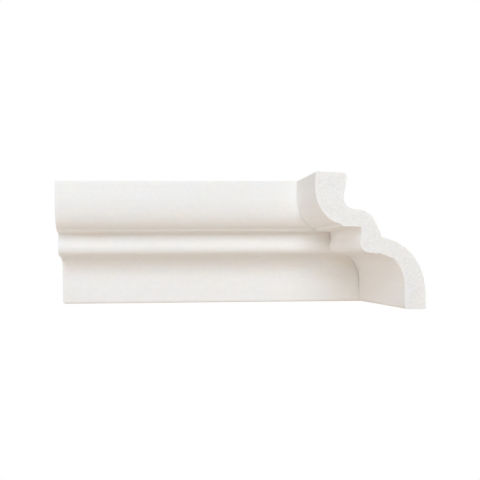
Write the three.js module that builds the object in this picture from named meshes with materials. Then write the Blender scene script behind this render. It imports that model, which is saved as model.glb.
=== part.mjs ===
// Foam crown moulding, two lengths mitred into an inside corner.
//
// Units are millimetres, +Z is up. The long run lies along the back wall and the short return
// comes forward along the right-hand wall. Both are cut square at their free ends and at 45
// degrees where they meet. The part stands on its bottom edge, with the origin below the middle
// of its box.
import * as THREE from 'three';

// Lengths along the two walls, from the corner of the room to each square cut end
const longRunLength = 273;
const shortReturnLength = 169.5;
const mitreJoint = 0.3; // open joint between the two mitred faces

// Front of the section from the bottom edge up, each member with its reach out from the wall
const toeThickness = 15.5; // plain lower fascia, front to back
const fasciaHeight = 17;
const coveReach = 18.5;
const coveRise = 23.5;
const shelfDepth = 7; // nearly level underside between the cove and the bead
const shelfRise = 0.7;
const beadRadius = 7;
const beadRise = 6.8; // from the nose of the bead up to the quirk
const beadSetBack = 1.4; // how far the quirk lies behind the nose
const quirkHeight = 4.7;
const soffitDepth = 14.7;
const soffitRise = 0.6;
const filletHeight = 1.5; // small upright step below the ovolo
const ovoloReach = 19.2;
const ovoloRise = 25.7;
const ovoloLead = 3.3; // the ovolo's curve is centred this far behind the fillet
const bandHeight = 12.5; // from the widest point of the ovolo up to the lip
const lipSetBack = 0.5; // the lip lies this far behind the widest point

// Back of the section, which follows the front at about the thickness of the shell
const notchBehindNose = 16;
const notchOverCove = 12;
const notchStraight = 9; // level length of the straight stretch below the notch
const notchSlope = 0.345; // rise of that stretch for each millimetre outwards
const wallFaceHeight = 11; // flat that bears on the wall, above the bottom edge
const backRoundRadius = 14.5;
const backRoundAhead = 3.4; // the back round is centred this far out from the quirk
const backRoundBelow = 2; // and this far below the top of the quirk
const backRoundTurn = 67; // degrees that the back round turns, from level towards the notch
const hollowRadius = 8;
const lipThickness = 20.6; // across the moulding where the hollow is deepest
const hollowSplay = 2.4; // how far the hollow leans towards the wall at the top
const ceilingFall = 1.3; // the ceiling face falls this much from the lip to its back edge

// Small roundings of the moulded edges
const lipRound = 0.8;
const quirkRound = 1.5;
const toeRound = 1.5;
const backEdgeRound = 1.2;

// Flats in each round stretch of the section
const arcFlats = 14;
const cornerFlats = 3;

// Joints between the members, worked out from the sizes above
const coveTop = fasciaHeight + coveRise;
const coveCentre = new THREE.Vector2(toeThickness + coveReach, fasciaHeight);
const beadCentre = new THREE.Vector2(coveCentre.x + shelfDepth, coveTop + shelfRise + beadRadius);
const noseReach = beadCentre.x + beadRadius;
const quirkReach = noseReach - beadSetBack;
const quirkBottom = beadCentre.y + beadRise;
const quirkTop = quirkBottom + quirkHeight;
const filletReach = quirkReach + soffitDepth;
const filletBottom = quirkTop + soffitRise;
const ovoloCentre = new THREE.Vector2(filletReach - ovoloLead, filletBottom + filletHeight + ovoloRise);
const ovoloHalfWidth = ovoloLead + ovoloReach;
const ovoloStart = Math.acos(ovoloLead / ovoloHalfWidth);
const ovoloHalfHeight = ovoloRise / Math.sin(ovoloStart);
const widestReach = ovoloCentre.x + ovoloHalfWidth;
const lip = new THREE.Vector2(widestReach - lipSetBack, ovoloCentre.y + bandHeight);

const notch = new THREE.Vector2(noseReach - notchBehindNose, coveTop + notchOverCove);
const backRoundCentre = new THREE.Vector2(quirkReach + backRoundAhead, quirkTop - backRoundBelow);
const backRoundStart = THREE.MathUtils.degToRad(90 + backRoundTurn);
const hollowReach = widestReach - lipThickness;
const hollowFloor = backRoundCentre.y + backRoundRadius;
const ceilingBack = new THREE.Vector2(hollowReach - hollowSplay, lip.y - ceilingFall);

// Adds points from the last point to a rounded corner, as a few flats of a quarter turn or less
function roundCorner(points, corner, next, radius) {
  const before = points[points.length - 1].clone().sub(corner).normalize();
  const after = next.clone().sub(corner).normalize();
  const from = corner.clone().addScaledVector(before, radius);
  const to = corner.clone().addScaledVector(after, radius);
  points.push(...new THREE.QuadraticBezierCurve(from, corner, to).getPoints(cornerFlats));
}

// Adds the points of an ellipse's arc, between two angles in radians
function ellipseArc(points, centre, halfWidth, halfHeight, from, to) {
  const arc = new THREE.EllipseCurve(centre.x, centre.y, halfWidth, halfHeight, from, to, to < from);
  points.push(...arc.getPoints(arcFlats));
}

// Front of the section, from the bottom edge to the ceiling
function addFront(points) {
  const { PI } = Math;
  const cornerOfQuirk = new THREE.Vector2(quirkReach, quirkTop);
  const footOfFillet = new THREE.Vector2(filletReach, filletBottom);

  roundCorner(points, new THREE.Vector2(toeThickness, 0), new THREE.Vector2(toeThickness, coveTop), toeRound);
  ellipseArc(points, coveCentre, coveReach, coveRise, PI, PI / 2);
  ellipseArc(points, beadCentre, beadRadius, beadRadius, -PI / 2, 0);
  const upperBead = new THREE.CubicBezierCurve(
    new THREE.Vector2(noseReach, beadCentre.y),
    new THREE.Vector2(noseReach, beadCentre.y + beadRise / 2),
    new THREE.Vector2(quirkReach, beadCentre.y + beadRise / 2),
    new THREE.Vector2(quirkReach, quirkBottom),
  );
  points.push(...upperBead.getPoints(arcFlats).slice(1));
  roundCorner(points, cornerOfQuirk, footOfFillet, quirkRound);
  points.push(footOfFillet);
  ellipseArc(points, ovoloCentre, ovoloHalfWidth, ovoloHalfHeight, -ovoloStart, 0);

  // The band above the ovolo is slightly bellied: it leaves the widest point upright
  const band = new THREE.QuadraticBezierCurve(
    new THREE.Vector2(widestReach, ovoloCentre.y),
    new THREE.Vector2(widestReach, ovoloCentre.y + bandHeight / 2),
    new THREE.Vector2(lip.x, lip.y - lipRound),
  );
  points.push(...band.getPoints(arcFlats).slice(1));
  roundCorner(points, lip, ceilingBack, lipRound);
}

// Back of the section, from the ceiling down to the bottom edge
function addBack(points) {
  const { PI } = Math;
  const hollowTurn = new THREE.Vector2(hollowReach, hollowFloor + hollowRadius);
  const hollowCentre = new THREE.Vector2(hollowReach - hollowRadius, hollowTurn.y);
  const roundFoot = new THREE.Vector2(notch.x - notchStraight, notch.y - notchStraight * notchSlope);
  const footRatio = notchStraight / notch.x;
  const footAngle = PI - Math.acos(footRatio);
  const roundHeight = (roundFoot.y - wallFaceHeight) / Math.sin(footAngle);
  const wallCorner = new THREE.Vector2(notch.x, wallFaceHeight);

  roundCorner(points, ceilingBack, hollowTurn, backEdgeRound);
  ellipseArc(points, hollowCentre, hollowRadius, hollowRadius, 0, -PI / 2);
  ellipseArc(points, backRoundCentre, backRoundRadius, backRoundRadius, PI / 2, backRoundStart);
  points.push(notch);
  ellipseArc(points, wallCorner, notch.x, roundHeight, footAngle, PI);
  roundCorner(points, new THREE.Vector2(0, 0), new THREE.Vector2(toeThickness, 0), backEdgeRound);
}

// Closed outline of the section: x is the distance out from the wall, y the height
function makeSection() {
  const points = [new THREE.Vector2(toeThickness / 2, 0)];
  addFront(points);
  addBack(points);
  const section = new THREE.Shape(points);
  section.autoClose = true;
  return section;
}

// Extrudes the section and moves its two ends to where place() says. place() gets the distance
// from the wall, the height and which end it is: 0 is the near cap and 1 the far one.
function sweepSection(section, place) {
  const geometry = new THREE.ExtrudeGeometry(section, { depth: 1, steps: 1, bevelEnabled: false });
  const position = geometry.getAttribute('position');
  for (let i = 0; i < position.count; i += 1) {
    const at = place(position.getX(i), position.getY(i), Math.round(position.getZ(i)));
    position.setXYZ(i, at.x, at.y, at.z);
  }
  geometry.computeVertexNormals();
  return geometry;
}

function foam() {
  return new THREE.MeshStandardMaterial({ color: 0xf1eeea, roughness: 0.82, metalness: 0 });
}

function makePiece(name, place) {
  const mesh = new THREE.Mesh(sweepSection(makeSection(), place), foam());
  mesh.name = name;
  return mesh;
}

// Each mitred face stands back from the corner's diagonal plane by half of the open joint
const mitreSetBack = (mitreJoint / 2) * Math.SQRT2;

const longRun = makePiece('long_run', (reach, height, end) => {
  const along = end === 0 ? -reach - mitreSetBack : -longRunLength;
  return new THREE.Vector3(along, -reach, height);
});

const shortReturn = makePiece('short_return', (reach, height, end) => {
  const along = end === 0 ? -shortReturnLength : -reach - mitreSetBack;
  return new THREE.Vector3(-reach, along, height);
});

// The pieces are modelled from the corner of the room, and the origin is below the box's middle
const crownMoulding = new THREE.Group();
crownMoulding.position.set(longRunLength / 2, shortReturnLength / 2, 0);
crownMoulding.add(longRun, shortReturn);

export default crownMoulding;
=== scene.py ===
"""Foam crown moulding inside corner, dressed for a studio picture. Metres, +Z up."""

import math
from collections import Counter

import bpy
import numpy as np
from mathutils import Matrix, Vector
from mathutils.geometry import delaunay_2d_cdt


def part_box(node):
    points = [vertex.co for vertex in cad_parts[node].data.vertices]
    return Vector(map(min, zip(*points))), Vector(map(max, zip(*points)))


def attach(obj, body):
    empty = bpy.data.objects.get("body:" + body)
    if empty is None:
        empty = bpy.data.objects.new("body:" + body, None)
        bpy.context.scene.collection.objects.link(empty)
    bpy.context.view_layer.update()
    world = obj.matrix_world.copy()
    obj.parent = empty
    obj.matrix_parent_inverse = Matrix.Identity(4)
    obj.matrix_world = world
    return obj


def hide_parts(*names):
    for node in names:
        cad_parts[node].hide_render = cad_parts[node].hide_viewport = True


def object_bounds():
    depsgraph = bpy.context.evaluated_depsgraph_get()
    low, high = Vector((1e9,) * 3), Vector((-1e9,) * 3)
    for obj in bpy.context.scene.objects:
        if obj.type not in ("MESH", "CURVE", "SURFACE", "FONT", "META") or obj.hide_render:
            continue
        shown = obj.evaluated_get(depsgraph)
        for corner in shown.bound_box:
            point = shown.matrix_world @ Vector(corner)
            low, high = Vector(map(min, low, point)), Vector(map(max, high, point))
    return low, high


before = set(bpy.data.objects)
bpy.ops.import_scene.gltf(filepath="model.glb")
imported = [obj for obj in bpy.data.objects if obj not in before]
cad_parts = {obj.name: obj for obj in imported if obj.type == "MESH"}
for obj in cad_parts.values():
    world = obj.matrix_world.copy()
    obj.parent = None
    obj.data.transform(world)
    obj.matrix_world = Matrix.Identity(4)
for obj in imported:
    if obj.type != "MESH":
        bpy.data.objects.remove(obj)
CAD_LOW, CAD_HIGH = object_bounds()

MM = 0.001

# The corner of the room at the foot of the moulding: both walls and all lengths start there
ROOM_CORNER = Vector((CAD_HIGH.x, CAD_HIGH.y, CAD_LOW.z))

# Camera, solved from the edges of the moulding in the picture
CAMERA_FROM_CORNER = Vector((-0.2046, -0.8809, 0.0357))
CAMERA_YAW = math.radians(5.586)  # from straight ahead towards the short return
CAMERA_PITCH = math.radians(1.193)
CAMERA_ROLL = math.radians(-0.342)
SENSOR_WIDTH = 36.0
FOCAL_LENGTH = 75.28

# Reading of the CAD section: how near its cut plane a corner lies, and the decimals that
# corners are matched by
SAME_PLANE = 1e-6
SAME_CORNER = 7

# Fineness of the outline: a turn above the sharp one stays a corner
OUTLINE_STEP = 0.25 * MM
OUTLINE_LONGEST = 1.1 * MM
OUTLINE_TURN = math.radians(4.0)
SHARP_TURN = math.radians(38)

# Fineness of the meshes: rings are close together at both ends and even between them
RING_SPACING = 2.0 * MM
END_RINGS = (0, 0.12, 0.3, 0.6, 1.1, 1.9, 3.0)  # millimetres from either end
EVEN_RINGS_FROM = 5 * MM  # from either end
CUT_FACE_STEP = 0.42 * MM
MITRE_FACE_STEP = 3.0 * MM
STEP_JITTER = 0.5  # of a step
EDGE_MARGIN = 0.5  # of a step
POINTS_MEET = 1e-7
FILL_INSIDE = 1  # kind of triangulation: only the inside of the outline
SHADED_SHARP = math.radians(45)

# Rounding of the moulded edges: softer at the fillet and at the front of the toe
EDGE_SOFTNESS = 0.40 * MM
WORN_SOFTNESS = 1.15 * MM
FILLET_REACH = (57 * MM, 66 * MM)
FILLET_HEIGHT = (58 * MM, 65 * MM)
TOE_REACH = (9 * MM, 22 * MM)
TOE_HEIGHT = (-6 * MM, 5 * MM)
REACH_BLUR = 3 * MM
HEIGHT_BLUR = 2 * MM

# Relief of the moulded skin: depths, and grain sizes along the moulding, outwards and up
WAVE_DEPTH = 0.10 * MM
WAVE_GRAIN = (45 * MM, 14 * MM, 14 * MM)
RIPPLE_DEPTH = 0.03 * MM
RIPPLE_GRAIN = (7 * MM, 3 * MM, 3 * MM)
LINE_GRAIN = 1.6 * MM
LINE_STRETCH = 0.02  # how fast the fine lines change along the moulding, against across it
BOX_SKIN = 2.5 * MM  # relief goes only inwards at the sides of the box, and both ways from here in

# Relief of the cut ends: beads of foam at levels of their own, grooves round them, and the
# hollows of beads that fell out. Widths are in bead sizes, and levels in bead depths.
BEAD_SIZE = 1.25 * MM
BEAD_DEPTH = 0.11 * MM
BEAD_LEVELS = 0.55
GROOVE_LEVEL = 0.6
GROOVE_WIDTH = 0.12
HOLLOW_LEVEL = 1.8
HOLLOW_RADIUS = 0.6
FALLEN_OUT = 0.93  # beads with a random number above this fell out

# The glued mitre: how far each face stands back along its length, where the joint is tight and
# where it shows as a hairline, and how round its edges are
JOINT_TIGHT = 0.005 * MM
JOINT_OPEN = 0.02 * MM
OPEN_JOINT_HEIGHTS = ((9, 37), (51, 58), (63, 68))  # millimetres above the foot
JOINT_BLUR = 4 * MM
MITRE_ROUND = 0.34 * MM
TIGHT_ROUND = 0.1  # share of the rounding that is left where the joint is tight

# Broken arris round the cut ends, and the crumbled stretch below the bead
EDGE_CHIP = 0.25 * MM
CHIP_GRAIN = 0.8 * BEAD_SIZE
CHIP_LENGTH = 1.2 * MM
SHORTEST_CHIP = 0.4  # of that length
CRUMBLE_DEPTH = 1.1 * MM
CRUMBLE_GRAIN = 1.7 * MM
CRUMBLE_LEVEL = 0.4  # noise above this is broken away, and noise below it stands out
CRUMBLED_REACH = (25 * MM, 42 * MM)
CRUMBLED_HEIGHT = (36 * MM, 43 * MM)
CRUMBLED_BLUR = 4 * MM

# Foam torn outwards at the cut ends: crumbs on the underside, and burrs at the back
CRUMBS = (  # reach, half width and drop in millimetres, and a drop below 0 is a bite
    (31.4, 1.3, 1.1),
    (27.4, 1.7, 1.1),
    (37.0, 1.3, 0.7),
    (33.9, 1.2, -0.4),
    (20.8, 2.8, -0.9),
)
UNDERSIDE_FROM = 16 * MM
UNDERSIDE_HEIGHT = (29 * MM, 43 * MM)
BURR_DEPTH = 0.6 * MM
LOWEST_BURR = 0.6  # of that depth
BURRED_REACH = (44 * MM, 64 * MM)
BURRED_HEIGHTS = ((87 * MM, 97 * MM), (72 * MM, 79 * MM))
BURR_BLUR = 3 * MM
TORN_LENGTH = 3 * MM  # how far the torn lumps reach back from the cut

# Wear of the long run's square end: its lower part is cut short and its lower corner is rubbed
CUT_SHORT = 1.3 * MM
CUT_SHORT_REACH = (20 * MM, 46 * MM)
WORN_CORNER = 2.6 * MM

# Foam colours, gloss, and how far light gets into the foam
SKIN_WARM = (0.944, 0.901, 0.838, 1)
SKIN_COOL = (0.934, 0.904, 0.858, 1)
SKIN_ROUGHNESS = (0.62, 0.76)
SKIN_GLOSS = 0.3
CUT_WARM = (0.955, 0.906, 0.838, 1)
CUT_COOL = (0.943, 0.906, 0.854, 1)
CUT_ROUGHNESS = 0.88
CUT_GLOSS = 0.25
FOAM_GLOW = 0.4
FOAM_GLOW_DEPTH = 2.5 * MM
FOAM_GLOW_COLOURS = (1.0, 0.85, 0.7)  # depth in red, green and blue

# Patterns of the skin, in grains to the metre, and how bright each one's low and high places are
MOTTLE_SCALE = 45
BLOTCH_SCALE = 280
BLOTCH_TINT = (0.988, 1.010)
PEEL_SCALE = 650
PEEL_TINT = (0.984, 1.009)
LINE_SCALE_ALONG = 6.0
LINE_SCALE_ACROSS = 900.0
LINE_TINT = (0.988, 1.006)
PORE_SCALE = 420
PORE_EDGE = (0.03, 0.10)
# Painted shade: the pin holes are darkened in colour as well as sunk in as bumps
PORE_SHADE_TINT = (1.0, 0.86)
SKIN_BUMP = {"Strength": 0.35, "Distance": 0.08 * MM}
LINE_BUMP = 0.5

# Patterns of the cut ends, in the same way
BROAD_SCALE = 160
FINE_SCALE = 2600
FINE_TINT = (0.975, 1.015)
FINE_BUMP = 0.6
CELL_TINT = (0.964, 1.036)
WALL_EDGE = (0.0, 0.16)
# Painted shade: the grooves between the cells are darkened in colour as well as sunk in as bumps
WALL_SHADE_TINT = (1.0, 0.95)
CUT_BUMP = {"Strength": 0.5, "Distance": 0.15 * MM}

# Middle of a noise's range, and the material slots of a piece
NOISE_RANGE = (0.3, 0.7)
FULL_RANGE = (0, 1)
SKIN, CUT = 0, 1

# Studio: sizes in metres, and the light of the room and of the floor
LIGHT_DISTANCE = 2.0
KEY_BOX = 0.9
FILL_BOX = 1.0
WHITE = (1, 1, 1)
STUDIO_COLOUR = (1.0, 0.92, 0.85, 1)
STUDIO_GLOW = 0.236
FLOOR_SIZE = 40.0
FLOOR_COLOUR = (0.5, 0.5, 0.5, 1)
FLOOR_GLOW_COLOUR = (1.0, 0.812, 0.65, 1)
FLOOR_GLOW = 0.283
SURROUND_RADIUS = 60.0


def unit(vectors):
    return vectors / np.linalg.norm(vectors, axis=-1, keepdims=True)


def smooth_step(share):
    """Eases a share between 0 and 1 at both of its ends."""
    return share * share * (3 - 2 * share)


def cad_section(node):
    """Closed outline of the CAD section, as (reach from the wall, height), from its square end."""
    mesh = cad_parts[node].data
    low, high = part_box(node)
    uses = Counter()
    for face in mesh.polygons:
        corners = [mesh.vertices[i].co for i in face.vertices]
        if all(abs(c.y - low.y) < SAME_PLANE for c in corners):
            ring = [(round(high.x - c.x, SAME_CORNER), round(c.z, SAME_CORNER)) for c in corners]
            uses.update(frozenset(edge) for edge in zip(ring, ring[1:] + ring[:1]))
    beside = {}
    for edge in (tuple(e) for e, count in uses.items() if count == 1):
        for a, b in (edge, edge[::-1]):
            beside.setdefault(a, []).append(b)
    outline = [min(beside)]
    previous = None
    while True:
        here = outline[-1]
        onward = [p for p in beside[here] if p != previous]
        previous = here
        if onward[0] == outline[0]:
            break
        outline.append(onward[0])
    points = np.array(outline)
    ahead = np.roll(points, -1, 0)
    area = np.sum(points[:, 0] * ahead[:, 1] - ahead[:, 0] * points[:, 1])
    return points if area > 0 else points[::-1]


def curve_through(points, step):
    """Runs a smooth curve through a closed outline and keeps its sharp corners and long flats."""
    ahead = np.roll(points, -1, 0) - points
    length = np.linalg.norm(ahead, axis=1)
    heading = ahead / length[:, None]
    came = np.roll(heading, 1, 0)
    came_length = np.roll(length, 1)
    turn = np.arccos(np.clip(np.sum(heading * came, axis=1), -1, 1))
    sharp = (turn > SHARP_TURN)[:, None]
    smooth = unit(came * came_length[:, None] ** 2 + heading * length[:, None] ** 2)
    leaving = np.where(sharp, heading, smooth)
    arriving = np.where(sharp, came, smooth)
    made = []
    for i in range(len(points)):
        j = (i + 1) % len(points)
        count = max(1, math.ceil(length[i] / step))
        t = (np.arange(count) / count)[:, None]
        made.append(
            (2 * t**3 - 3 * t**2 + 1) * points[i]
            + (t**3 - 2 * t**2 + t) * length[i] * leaving[i]
            + (3 * t**2 - 2 * t**3) * points[j]
            + (t**3 - t**2) * length[i] * arriving[j]
        )
    return np.concatenate(made)


def run_along(points):
    """Distance along a line of points, from the first one to each."""
    return np.concatenate([[0], np.cumsum(np.linalg.norm(np.diff(points, axis=0), axis=1))])


def evenly_spaced(points, step):
    closed = np.vstack([points, points[:1]])
    run = run_along(closed)
    count = round(run[-1] / step)
    at = np.linspace(0, run[-1], count, endpoint=False)
    return np.stack([np.interp(at, run, closed[:, k]) for k in (0, 1)], axis=1)


def soften(points, step, width):
    """Rounds the corners of an evenly spaced closed outline with a bell of the given width."""
    reach = int(3 * width / step)
    offsets = np.arange(-reach, reach + 1)
    bell = np.exp(-0.5 * (offsets * step / width) ** 2)
    bell /= bell.sum()
    return sum(w * np.roll(points, -o, 0) for w, o in zip(bell, offsets))


def thin_out(points, longest, most_turn):
    """Keeps the points of a closed outline that its curvature needs."""
    kept = [0]
    turned = 0.0
    heading = unit(np.roll(points, -1, 0) - points)
    for i in range(1, len(points)):
        cross = heading[i - 1][0] * heading[i][1] - heading[i - 1][1] * heading[i][0]
        turned += abs(math.asin(max(-1.0, min(1.0, cross))))
        far = np.linalg.norm(points[i] - points[kept[-1]])
        if turned >= most_turn or far >= longest:
            kept.append(i)
            turned = 0.0
    return points[kept]


def outward(points):
    """Outward direction at each point of a closed outline that runs anticlockwise."""
    along = unit(np.roll(points, -1, 0) - np.roll(points, 1, 0))
    return np.stack([along[:, 1], -along[:, 0]], axis=1)


def bump(values, low, high, blur):
    """Rises smoothly from 0 to 1 and back where the values lie between low and high."""
    up = np.clip((values - low) / blur + 0.5, 0, 1)
    down = np.clip((high - values) / blur + 0.5, 0, 1)
    return smooth_step(up) * smooth_step(down)


def patch(points, reach, height, blur=HEIGHT_BLUR):
    """1 at the points of the section inside a range of reach and of height, and 0 outside."""
    return bump(points[:, 0], *reach, REACH_BLUR) * bump(points[:, 1], *height, blur)


def make_section():
    """The CAD section as a finer outline with rounded arrises."""
    drawn = evenly_spaced(curve_through(CAD_SECTION, OUTLINE_STEP), OUTLINE_STEP)
    crisp = soften(drawn, OUTLINE_STEP, EDGE_SOFTNESS)
    worn = soften(drawn, OUTLINE_STEP, WORN_SOFTNESS)
    where_worn = patch(drawn, FILLET_REACH, FILLET_HEIGHT) + patch(drawn, TOE_REACH, TOE_HEIGHT)
    softened = crisp + (worn - crisp) * where_worn[:, None]
    return np.clip(thin_out(softened, OUTLINE_LONGEST, OUTLINE_TURN), SECTION_LOW, SECTION_HIGH)


def grain_noise(points, grain, seed):
    """Smooth noise from 0 to 1 at each point, with a grain size along each axis."""
    side = 32
    table = np.random.default_rng(seed).random((side, side, side))
    at = points / np.array(grain)
    base = np.floor(at).astype(int)
    part = smooth_step(at - base)
    value = np.zeros(len(points))
    for corner in np.ndindex(2, 2, 2):
        weight = np.prod(np.where(corner, part, 1 - part), axis=1)
        i, j, k = ((base + corner) % side).T
        value += weight * table[i, j, k]
    return value


def line_noise(run, grain, seed):
    """The same noise along a line, at each distance along it."""
    return grain_noise(np.stack([run, 0 * run, 0 * run], axis=1), (grain,) * 3, seed)


def beads(points, size, seed):
    """Distances to the nearest and second nearest bead centre, in bead sizes, and the bead's own
    random number from 0 to 1."""
    side = 128
    rng = np.random.default_rng(seed)
    jitter = rng.random((side, side, 2))
    number = rng.random((side, side))
    at = points / size
    base = np.floor(at).astype(int)
    nearest = np.full(len(points), np.inf)
    second = np.full(len(points), np.inf)
    own = np.zeros(len(points))
    for dx in (-1, 0, 1):
        for dy in (-1, 0, 1):
            cell = base + (dx, dy)
            i, j = (cell % side).T
            far = np.linalg.norm(at - cell - jitter[i, j], axis=1)
            closer = far < nearest
            second = np.where(closer, nearest, np.minimum(second, far))
            own = np.where(closer, number[i, j], own)
            nearest = np.minimum(nearest, far)
    return nearest, second, own


def cut_relief(points, seed):
    """How deep the torn foam lies below the plane of a cut, at each (reach, height)."""
    nearest, second, own = beads(points, BEAD_SIZE, seed)
    groove = np.exp(-(second - nearest) / GROOVE_WIDTH)
    hollow = np.where(own > FALLEN_OUT, 1.0 - np.clip(nearest / HOLLOW_RADIUS, 0, 1) ** 2, 0)
    return BEAD_DEPTH * (BEAD_LEVELS * own + GROOVE_LEVEL * groove + HOLLOW_LEVEL * hollow)


def skin_relief(run, reach, height, girth, seed):
    """How far the moulded skin lies inside its true form: long waves, and fine lines along it."""
    place = np.stack([run, reach, height], axis=1)
    waves = grain_noise(place, WAVE_GRAIN, seed)
    ripple = grain_noise(place, RIPPLE_GRAIN, seed + 1)
    round_and_along = np.stack([girth, run * LINE_STRETCH, 0 * run], axis=1)
    lines = grain_noise(round_and_along, (LINE_GRAIN,) * 3, seed + 2)
    depth = WAVE_DEPTH * waves + RIPPLE_DEPTH * (ripple + lines) / 2
    return depth - box_room(reach, height) * (WAVE_DEPTH + RIPPLE_DEPTH) / 2


def box_room(reach, height):
    """0 at the sides of the section's box, and 1 further in than the box's skin."""
    points = np.stack([reach, height], axis=1)
    room = np.minimum(points - SECTION_LOW, SECTION_HIGH - points).min(1)
    return np.clip(room / BOX_SKIN, 0, 1)


def joint_openness(height):
    """Where the glued mitre shows as an open hairline, from 0 to 1, by height."""
    places = [bump(height, low * MM, high * MM, JOINT_BLUR) for low, high in OPEN_JOINT_HEIGHTS]
    return np.clip(sum(places), 0, 1)


def edge_chips(girth, points, seed):
    """How far the arris round a cut end is broken away, and how far it is torn outwards, at each
    point of the section."""
    grain = line_noise(girth, CHIP_GRAIN, seed + 5)
    crumble = line_noise(girth, CRUMBLE_GRAIN, seed + 6) - CRUMBLE_LEVEL
    crumbled = patch(points, CRUMBLED_REACH, CRUMBLED_HEIGHT, CRUMBLED_BLUR)
    chips = EDGE_CHIP * grain**3 + CRUMBLE_DEPTH * crumbled * crumble

    burred = sum(patch(points, BURRED_REACH, heights, BURR_BLUR) for heights in BURRED_HEIGHTS)
    torn = BURR_DEPTH * burred * (LOWEST_BURR + (1 - LOWEST_BURR) * grain)
    underside = bump(points[:, 1], *UNDERSIDE_HEIGHT, HEIGHT_BLUR) * (points[:, 0] > UNDERSIDE_FROM)
    for middle, half_width, drop in CRUMBS:
        share = (points[:, 0] - middle * MM) / (half_width * MM)
        torn += drop * MM * np.exp(-share * share) * underside
    return chips, torn


def ring_shares(length):
    """Places of the rings from the mitre, 0, to the square end, 1: closer together at both."""
    near_ends = np.array(END_RINGS) * MM
    count = int((length - 2 * EVEN_RINGS_FROM) / RING_SPACING)
    middle = np.linspace(EVEN_RINGS_FROM, length - EVEN_RINGS_FROM, count)
    return np.concatenate([near_ends, middle, length - near_ends[::-1]]) / length


def skin_rings(length, start, finish, seed):
    """Rings of (run, reach, height) that the section leaves on its way from the mitre to the
    square end. start and finish are where each of its points begins and ends."""
    reach, height = SECTION.T
    normal = outward(SECTION)
    girth = run_along(SECTION)
    rounding = MITRE_ROUND * (TIGHT_ROUND + (1 - TIGHT_ROUND) * joint_openness(height))
    chips, torn = edge_chips(girth, SECTION, seed)
    chip_length = CHIP_LENGTH * (SHORTEST_CHIP + abs(chips) / CRUMBLE_DEPTH)
    rings = []
    for share in ring_shares(length):
        run = start + (finish - start) * share
        depth = skin_relief(run, reach, height, girth, seed)
        over = np.clip(1 - (run - start) / rounding, 0, 1)
        broken = np.clip(1 - (finish - run) / chip_length, 0, 1)
        depth += rounding * (1 - np.sqrt(1 - over**2)) + chips * broken
        depth -= torn * np.clip(1 - (finish - run) / TORN_LENGTH, 0, 1) ** 2
        skin = np.clip(SECTION - normal * depth[:, None], SECTION_LOW, SECTION_HIGH)
        rings.append(np.column_stack([run, skin]))
    return rings


def ring_faces(rings):
    """Quads from each ring to the next."""
    count = len(rings[0])
    faces = []
    for first in range(0, (len(rings) - 1) * count, count):
        for i in range(count):
            a, b = first + i, first + (i + 1) % count
            faces.append((a, b, b + count, a + count))
    return faces


def clear_inside(points, boundary, margin):
    """Which points lie inside a closed outline and at least the margin away from its points."""
    inside = np.zeros(len(points), bool)
    nearest = np.full(len(points), np.inf)
    for a, b in zip(boundary, np.roll(boundary, -1, 0)):
        crosses = (a[1] > points[:, 1]) != (b[1] > points[:, 1])
        if a[1] != b[1]:
            x = a[0] + (points[:, 1] - a[1]) / (b[1] - a[1]) * (b[0] - a[0])
            inside ^= crosses & (points[:, 0] < x)
        nearest = np.minimum(nearest, np.linalg.norm(points - a, axis=1))
    return inside & (nearest > margin)


def face_mesh(boundary, step, seed):
    """Triangles that fill a closed outline: the boundary's points first, then those inside."""
    low, high = boundary.min(0), boundary.max(0)
    rng = np.random.default_rng(seed)
    rows = np.arange(low[1], high[1], step * math.sqrt(3) / 2)
    inside = []
    for n, y in enumerate(rows):
        xs = np.arange(low[0] + (n % 2) * step / 2, high[0], step)
        inside.append(np.stack([xs, np.full(len(xs), y)], axis=1))
    inside = np.concatenate(inside)
    inside += (rng.random(inside.shape) - 0.5) * STEP_JITTER * step
    inside = inside[clear_inside(inside, boundary, EDGE_MARGIN * step)]
    points = np.concatenate([boundary, inside])
    loop = list(range(len(boundary)))
    corners = [Vector(p) for p in points]
    found = delaunay_2d_cdt(corners, [], [loop], FILL_INSIDE, POINTS_MEET)
    origin = [min(o) if o else None for o in found[3]]
    triangles = [[origin[i] for i in face] for face in found[2]]
    return points, [t for t in triangles if None not in t]


def add_object(name, points, faces):
    """A new object in the scene with a mesh of these points and faces."""
    mesh = bpy.data.meshes.new(name)
    mesh.from_pydata(points, [], faces)
    made = bpy.data.objects.new(name, mesh)
    bpy.context.scene.collection.objects.link(made)
    return made


def moulding_length(name, length, place, flip, end_wear, seed):
    """Sweeps the section from the mitre to the square end, and closes both ends. place turns
    (run, reach, height) into a point of the scene, flip turns the faces over, and end_wear says
    how much is worn off the square end at each (reach, height)."""

    def mitre_run(points):
        opening = joint_openness(points[:, 1])
        return points[:, 0] + JOINT_TIGHT + (JOINT_OPEN - JOINT_TIGHT) * opening

    def end_run(points):
        return length - cut_relief(points, seed) - end_wear(points)

    rings = skin_rings(length, mitre_run(SECTION), end_run(SECTION), seed)
    count = len(SECTION)
    filled, end_faces = face_mesh(rings[-1][:, 1:], CUT_FACE_STEP, seed)
    end_inside = np.column_stack([end_run(filled[count:]), filled[count:]])
    filled, mitre_faces = face_mesh(rings[0][:, 1:], MITRE_FACE_STEP, seed)
    mitre_inside = np.column_stack([mitre_run(filled[count:]), filled[count:]])

    points = np.concatenate(rings + [end_inside, mitre_inside])
    skin = ring_faces(rings)
    end_shift = (len(rings) - 1) * count
    mitre_shift = end_shift + len(end_inside)
    cut = [[end_shift + i for i in face] for face in end_faces]
    for face in mitre_faces:
        cut.append([i if i < count else mitre_shift + i for i in reversed(face)])
    faces = skin + cut
    if flip:
        faces = [face[::-1] for face in faces]

    piece = add_object(name, [place(*p) for p in points], faces)
    mesh = piece.data
    mesh.materials.append(skin_material(name + "_skin", place))
    mesh.materials.append(CUT_MATERIAL)
    mesh.polygons.foreach_set("material_index", [SKIN] * len(skin) + [CUT] * len(cut))
    mesh.shade_smooth()
    mesh.set_sharp_from_angle(angle=SHADED_SHARP)
    return piece


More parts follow.
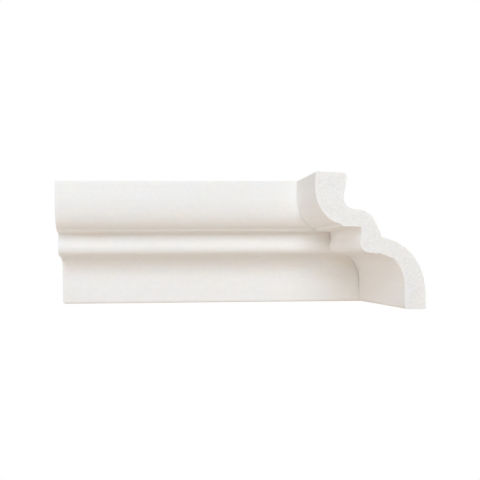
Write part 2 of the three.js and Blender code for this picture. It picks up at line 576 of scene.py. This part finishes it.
def fill_inputs(tree, node, inputs):
    """Fills each input of a node with a value or with another node's output."""
    for name, value in inputs.items():
        if isinstance(value, bpy.types.NodeSocket):
            tree.links.new(value, node.inputs[name])
        else:
            node.inputs[name].default_value = value


def add_node(tree, kind, inputs, **settings):
    """Adds a shader node, sets its options and fills its inputs."""
    node = tree.nodes.new(kind)
    for name, value in settings.items():
        setattr(node, name, value)
    fill_inputs(tree, node, inputs)
    return node


def new_material(name):
    material = bpy.data.materials.new(name)
    material.use_nodes = True
    tree = material.node_tree
    tree.nodes.clear()
    shader = tree.nodes.new("ShaderNodeBsdfPrincipled")
    add_node(tree, "ShaderNodeOutputMaterial", {"Surface": shader.outputs["BSDF"]})
    return material, tree, shader


def scaled_place(tree, scale):
    """Places on the object in metres, multiplied along each axis."""
    place = tree.nodes.new("ShaderNodeTexCoord").outputs["Object"]
    mapping = add_node(tree, "ShaderNodeMapping", {"Vector": place, "Scale": scale})
    return mapping.outputs["Vector"]


def noise(tree, scale, detail=2.0):
    """Noise from 0 to 1, with one number of grains to the metre or one along each axis."""
    vector = scaled_place(tree, scale if isinstance(scale, list) else [scale] * 3)
    inputs = {"Vector": vector, "Scale": 1.0, "Detail": detail}
    return add_node(tree, "ShaderNodeTexNoise", inputs).outputs["Fac"]


def cells(tree, scale, **settings):
    """Cells of random shape, with a number of cells to the metre."""
    inputs = {"Vector": scaled_place(tree, [scale] * 3), "Scale": 1.0}
    return add_node(tree, "ShaderNodeTexVoronoi", inputs, **settings).outputs


def calc(tree, operation, a, b):
    return add_node(tree, "ShaderNodeMath", {0: a, 1: b}, operation=operation).outputs[0]


def spread(tree, value, to_range, from_range=NOISE_RANGE):
    """Maps one range, which is the middle of a noise's own unless given, to another."""
    inputs = {
        "Value": value,
        "From Min": from_range[0],
        "From Max": from_range[1],
        "To Min": to_range[0],
        "To Max": to_range[1],
    }
    return add_node(tree, "ShaderNodeMapRange", inputs).outputs["Result"]


def mix_colour(tree, share, a, b, **settings):
    inputs = {0: share, 6: a, 7: b}
    return add_node(tree, "ShaderNodeMix", inputs, data_type="RGBA", **settings).outputs[2]


def tint(tree, colour, share):
    """Multiplies a colour by a brightness that varies over the surface."""
    channels = {"Red": share, "Green": share, "Blue": share}
    grey = add_node(tree, "ShaderNodeCombineColor", channels).outputs[0]
    return mix_colour(tree, 1.0, colour, grey, blend_type="MULTIPLY")


def finish_foam(tree, shader, colour, roughness, gloss, surface, relief):
    """Fills the shader. Rigid foam lets some light in, which softens its shadows and warms
    them."""
    normal = add_node(tree, "ShaderNodeBump", {"Height": surface, **relief}).outputs["Normal"]
    inputs = {
        "Base Color": colour,
        "Roughness": roughness,
        "Specular IOR Level": gloss,
        "Subsurface Weight": FOAM_GLOW,
        "Subsurface Radius": FOAM_GLOW_COLOURS,
        "Subsurface Scale": FOAM_GLOW_DEPTH,
        "Normal": normal,
    }
    fill_inputs(tree, shader, inputs)


def skin_material(name, place):
    """Smooth moulded foam: faint mottling, fine lines along the length, pin holes darkened with
    painted shade, and a soft orange-peel surface."""
    material, tree, shader = new_material(name)
    run_axis = Vector(place(1, 0, 0)) - Vector(place(0, 0, 0))
    line_scale = [LINE_SCALE_ALONG if round(c) else LINE_SCALE_ACROSS for c in run_axis]

    mottle = noise(tree, MOTTLE_SCALE, 3.0)
    lines = noise(tree, line_scale)
    peel = noise(tree, PEEL_SCALE, 3.0)
    blotch = noise(tree, BLOTCH_SCALE)
    pin_hole_and_shade = spread(tree, cells(tree, PORE_SCALE)["Distance"], (1.0, 0.0), PORE_EDGE)

    colour = mix_colour(tree, spread(tree, mottle, FULL_RANGE), SKIN_WARM, SKIN_COOL)
    colour = tint(tree, colour, spread(tree, lines, LINE_TINT))
    colour = tint(tree, colour, spread(tree, peel, PEEL_TINT))
    colour = tint(tree, colour, spread(tree, blotch, BLOTCH_TINT))
    # Painted shade darkens the pin holes
    colour = tint(tree, colour, spread(tree, pin_hole_and_shade, PORE_SHADE_TINT, FULL_RANGE))
    roughness = spread(tree, peel, SKIN_ROUGHNESS)
    surface = calc(tree, "ADD", calc(tree, "MULTIPLY", lines, LINE_BUMP), peel)
    surface = calc(tree, "SUBTRACT", surface, pin_hole_and_shade)
    finish_foam(tree, shader, colour, roughness, SKIN_GLOSS, surface, SKIN_BUMP)
    return material


def cut_material():
    """Foam cut through its cells: each cell catches the light a little differently, and painted
    shade darkens the grooves between the cells.
    """
    material, tree, shader = new_material("foam_cut")
    walls = cells(tree, 1 / BEAD_SIZE, feature="DISTANCE_TO_EDGE")
    # 1 at the grooves between the cells: it sinks them and paints shade into them
    wall = spread(tree, walls["Distance"], (1.0, 0.0), WALL_EDGE)
    random_colour = cells(tree, 1 / BEAD_SIZE)["Color"]
    number = add_node(tree, "ShaderNodeSeparateColor", {"Color": random_colour}).outputs[0]
    fine = noise(tree, FINE_SCALE)
    broad = noise(tree, BROAD_SCALE)

    colour = mix_colour(tree, spread(tree, broad, FULL_RANGE), CUT_WARM, CUT_COOL)
    colour = tint(tree, colour, spread(tree, number, CELL_TINT, FULL_RANGE))
    colour = tint(tree, colour, spread(tree, fine, FINE_TINT))
    # Painted shade darkens the grooves between the cells
    colour = tint(tree, colour, spread(tree, wall, WALL_SHADE_TINT, FULL_RANGE))
    surface = calc(tree, "SUBTRACT", calc(tree, "MULTIPLY", fine, FINE_BUMP), wall)
    finish_foam(tree, shader, colour, CUT_ROUGHNESS, CUT_GLOSS, surface, CUT_BUMP)
    return material


def make_camera():
    camera = bpy.data.objects.new("camera", bpy.data.cameras.new("camera"))
    bpy.context.scene.collection.objects.link(camera)
    camera.data.sensor_width = SENSOR_WIDTH
    camera.data.lens = FOCAL_LENGTH
    turn = (
        Matrix.Rotation(-CAMERA_YAW, 4, "Z")
        @ Matrix.Rotation(math.pi / 2 + CAMERA_PITCH, 4, "X")
        @ Matrix.Rotation(CAMERA_ROLL, 4, "Z")
    )
    camera.matrix_world = Matrix.Translation(ROOM_CORNER + CAMERA_FROM_CORNER) @ turn
    bpy.context.scene.camera = camera


def softbox(name, azimuth, elevation, size, colour, watts):
    """A square studio light that faces the moulding. Azimuth 0 is behind the camera, and it
    turns towards the right of the picture."""
    light = bpy.data.lights.new(name, "AREA")
    light.shape = "SQUARE"
    light.size = size
    light.color = colour
    light.energy = watts
    box = bpy.data.objects.new(name, light)
    bpy.context.scene.collection.objects.link(box)
    a, e = math.radians(azimuth), math.radians(elevation)
    away = Vector((math.sin(a) * math.cos(e), -math.cos(a) * math.cos(e), math.sin(e)))
    aim = Vector((0, 0, CAD_HIGH.z / 2))
    box.location = aim + away * LIGHT_DISTANCE
    box.rotation_euler = away.to_track_quat("Z", "Y").to_euler()
    box.visible_camera = False


def make_lights():
    softbox("key", -12, 21, KEY_BOX, (0.73, 0.849, 1), watts=23.0)
    softbox("left_fill", -75, 8, FILL_BOX, (0.857, 0.911, 1), watts=9.4)
    softbox("right_fill", 75, 32, FILL_BOX, (1, 0.804, 0.545), watts=4.5)
    softbox("top", 0, 86, FILL_BOX, (1, 0.994, 0.98), watts=6.8)
    softbox("back", 180, 45, FILL_BOX, WHITE, watts=10.0)
    softbox("right_back", 115, 30, FILL_BOX, WHITE, watts=6.0)


def make_world():
    """Light from a pale studio, all round."""
    world = bpy.data.worlds.new("studio")
    world.use_nodes = True
    background = world.node_tree.nodes["Background"]
    background.inputs["Color"].default_value = STUDIO_COLOUR
    background.inputs["Strength"].default_value = STUDIO_GLOW
    bpy.context.scene.world = world


def make_floor():
    """The floor throws light up on the moulding. The camera sees the white surround instead."""
    side = FLOOR_SIZE / 2
    corners = [(-side, -side, 0), (side, -side, 0), (side, side, 0), (-side, side, 0)]
    floor = add_object("floor", corners, [(0, 1, 2, 3)])
    material, tree, shader = new_material("floor_pale")
    inputs = {
        "Base Color": FLOOR_COLOUR,
        "Roughness": 1.0,
        "Emission Color": FLOOR_GLOW_COLOUR,
        "Emission Strength": FLOOR_GLOW,
    }
    fill_inputs(tree, shader, inputs)
    floor.data.materials.append(material)
    floor.visible_camera = False


def make_surround():
    """A white globe round the studio that only the camera sees, as the picture is all white
    round the moulding."""
    bpy.ops.mesh.primitive_uv_sphere_add(segments=32, ring_count=16, radius=SURROUND_RADIUS)
    surround = bpy.context.object
    surround.name = "white_surround"
    material, tree, shader = new_material("surround_white")
    inputs = {
        "Base Color": (0, 0, 0, 1),
        "Specular IOR Level": 0.0,
        "Emission Color": (1, 1, 1, 1),
        "Emission Strength": 1.0,
    }
    fill_inputs(tree, shader, inputs)
    surround.data.materials.append(material)
    for kind in ("diffuse", "glossy", "transmission", "volume_scatter", "shadow"):
        setattr(surround, "visible_" + kind, False)


CORNER_X, CORNER_Y, _ = ROOM_CORNER
CAD_SECTION = cad_section("short_return")
SECTION_LOW, SECTION_HIGH = CAD_SECTION.min(0), CAD_SECTION.max(0)
SECTION = make_section()
CUT_MATERIAL = cut_material()


def worn_end(points):
    """The end is cut short below the bead, and its lower corner is rubbed round."""
    low, high = CUT_SHORT_REACH
    share = np.clip((high - points[:, 0]) / (high - low), 0, 1)
    over = np.clip(1 - points[:, 1] / WORN_CORNER, 0, 1)
    return CUT_SHORT * smooth_step(share) + WORN_CORNER * (1 - np.sqrt(1 - over**2))


def unworn(points):
    return np.zeros(len(points))


def along_back_wall(run, reach, height):
    return CORNER_X - run, CORNER_Y - reach, height


def along_side_wall(run, reach, height):
    return CORNER_X - reach, CORNER_Y - run, height


def make_pieces():
    """The two lengths, each as long as its CAD solid."""
    length = CORNER_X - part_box("long_run")[0].x
    long_run = moulding_length(
        "long_run_foam", length, along_back_wall, flip=False, end_wear=worn_end, seed=11
    )
    length = CORNER_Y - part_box("short_return")[0].y
    short_return = moulding_length(
        "short_return_foam", length, along_side_wall, flip=True, end_wear=unworn, seed=37
    )
    for piece, node in ((long_run, "long_run"), (short_return, "short_return")):
        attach(piece, "root")
        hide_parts(node)


make_pieces()
make_camera()
make_lights()
make_world()
make_floor()
make_surround()
bpy.context.scene.view_settings.view_transform = "Standard"
